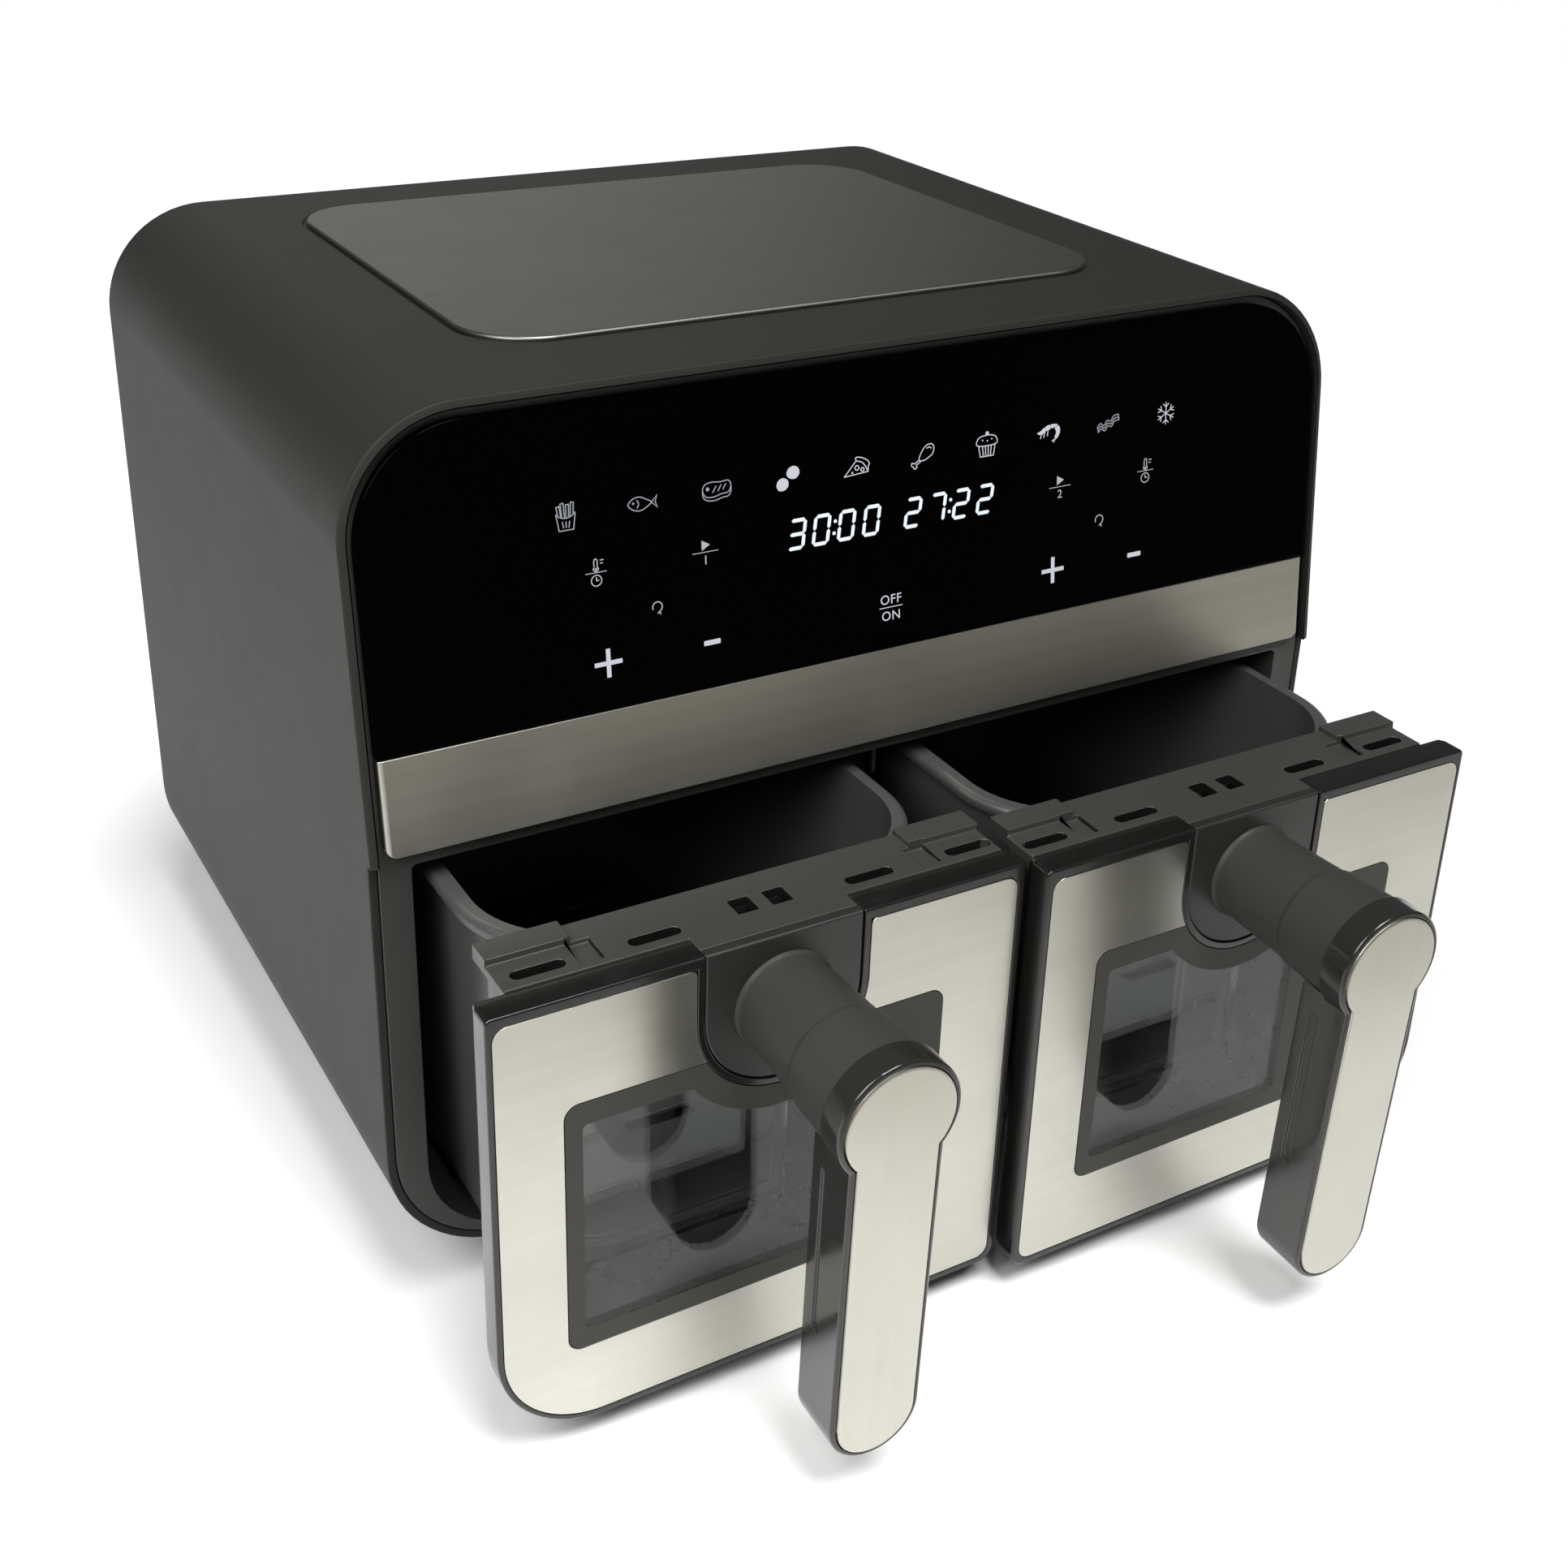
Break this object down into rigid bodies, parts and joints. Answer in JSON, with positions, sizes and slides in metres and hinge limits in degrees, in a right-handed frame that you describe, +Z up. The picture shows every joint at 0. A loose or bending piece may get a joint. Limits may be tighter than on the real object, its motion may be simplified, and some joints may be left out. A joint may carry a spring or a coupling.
{
  "type": "air fryer",
  "caption": "Countertop air fryer: a rounded housing with a leaning touch panel and side-by-side windowed drawers, each with a tub, crisper plate and bar handle.",
  "frame": {"origin": "on the worktop, under the middle of the bounding box with both drawers at rest part-way out", "axes": "+Z up, -Y towards the person who uses it (drawers pull out along -Y), +X to that person's right"},
  "size_m": [0.38, 0.4458, 0.3182],
  "materials": {
    "charcoal_shell": "matte",
    "grey_satin_metal": "satin",
    "black_plastic": "matte",
    "black_gloss_panel": "gloss",
    "brushed_steel_trim": "brushed",
    "circuit_board": "satin",
    "display_housing": "matte",
    "black_rubber": "matte",
    "plated_fasteners": "satin",
    "dark_coated_sheet": "satin",
    "heater_steel": "satin",
    "plated_sheet": "satin",
    "motor_can": "satin",
    "fan_aluminium": "satin",
    "brushed_steel_front": "brushed",
    "clear_glass": "clear",
    "grey_black_plastic": "satin",
    "nonstick_dark": "satin",
    "black_gloss_grip": "gloss",
    "dark_silicone": "matte"
  },
  "bodies": {
    "housing": {"base_plate": "black_plastic", "cavity_liner_left": "dark_coated_sheet", "cavity_liner_right": "dark_coated_sheet", "control_panel": "black_gloss_panel", "cord_gland": "black_plastic", "display_module": "display_housing", "drawer_rails_left": "plated_sheet", "drawer_rails_right": "plated_sheet", "front_frame": "black_plastic", "guard_hangers_left": "heater_steel", "guard_hangers_right": "heater_steel", "heater_element_left": "heater_steel", "heater_element_right": "heater_steel", "heater_guard_left": "heater_steel", "heater_guard_right": "heater_steel", "housing_screws": "plated_fasteners", "motor_bracket_left": "plated_sheet", "motor_bracket_right": "plated_sheet", "motor_left": "motor_can", "motor_right": "motor_can", "outer_shell": "charcoal_shell", "power_board": "circuit_board", "rear_cover": "black_plastic", "rubber_feet": "black_rubber", "steel_strip": "brushed_steel_trim", "top_panel": "grey_satin_metal", "touch_board": "circuit_board"},
    "drawer_left": {"drawer_cap_left": "grey_black_plastic", "drawer_front_left": "black_plastic", "face_plate_left": "brushed_steel_front", "handle_bib_left": "grey_black_plastic", "handle_grip_left": "black_gloss_grip", "handle_insert_left": "brushed_steel_trim", "handle_neck_left": "grey_black_plastic", "inner_glass_left": "clear_glass", "pot_left": "nonstick_dark", "window_glass_left": "clear_glass", "window_tunnel_left": "black_plastic"},
    "crisper_left": {"crisper_bumpers_left": "dark_silicone", "crisper_plate_left": "nonstick_dark"},
    "fan_left": {"cooking_fan_left": "fan_aluminium", "cooling_fan_left": "black_plastic", "fan_shaft_left": "plated_sheet"},
    "drawer_right": {"drawer_cap_right": "grey_black_plastic", "drawer_front_right": "black_plastic", "face_plate_right": "brushed_steel_front", "handle_bib_right": "grey_black_plastic", "handle_grip_right": "black_gloss_grip", "handle_insert_right": "brushed_steel_trim", "handle_neck_right": "grey_black_plastic", "inner_glass_right": "clear_glass", "pot_right": "nonstick_dark", "window_glass_right": "clear_glass", "window_tunnel_right": "black_plastic"},
    "crisper_right": {"crisper_bumpers_right": "dark_silicone", "crisper_plate_right": "nonstick_dark"},
    "fan_right": {"cooking_fan_right": "fan_aluminium", "cooling_fan_right": "black_plastic", "fan_shaft_right": "plated_sheet"}
  },
  "joints": [
    {"name": "drawer_slide_left", "type": "slide", "parent": "housing", "child": "drawer_left", "axis": [0, -1, 0], "range_m": [-0.07, 0.13]},
    {"name": "crisper_lift_left", "type": "slide", "parent": "drawer_left", "child": "crisper_left", "axis": [0, 0, 1], "range_m": [0, 0.085]},
    {"name": "fan_spin_left", "type": "hinge", "parent": "housing", "child": "fan_left", "pos_m": [-0.092, 0.07621, 0.206], "axis": [0, 0, 1], "continuous": true},
    {"name": "drawer_slide_right", "type": "slide", "parent": "housing", "child": "drawer_right", "axis": [0, -1, 0], "range_m": [-0.078, 0.122]},
    {"name": "crisper_lift_right", "type": "slide", "parent": "drawer_right", "child": "crisper_right", "axis": [0, 0, 1], "range_m": [0, 0.085]},
    {"name": "fan_spin_right", "type": "hinge", "parent": "housing", "child": "fan_right", "pos_m": [0.092, 0.07621, 0.206], "axis": [0, 0, 1], "continuous": true}
  ]
}
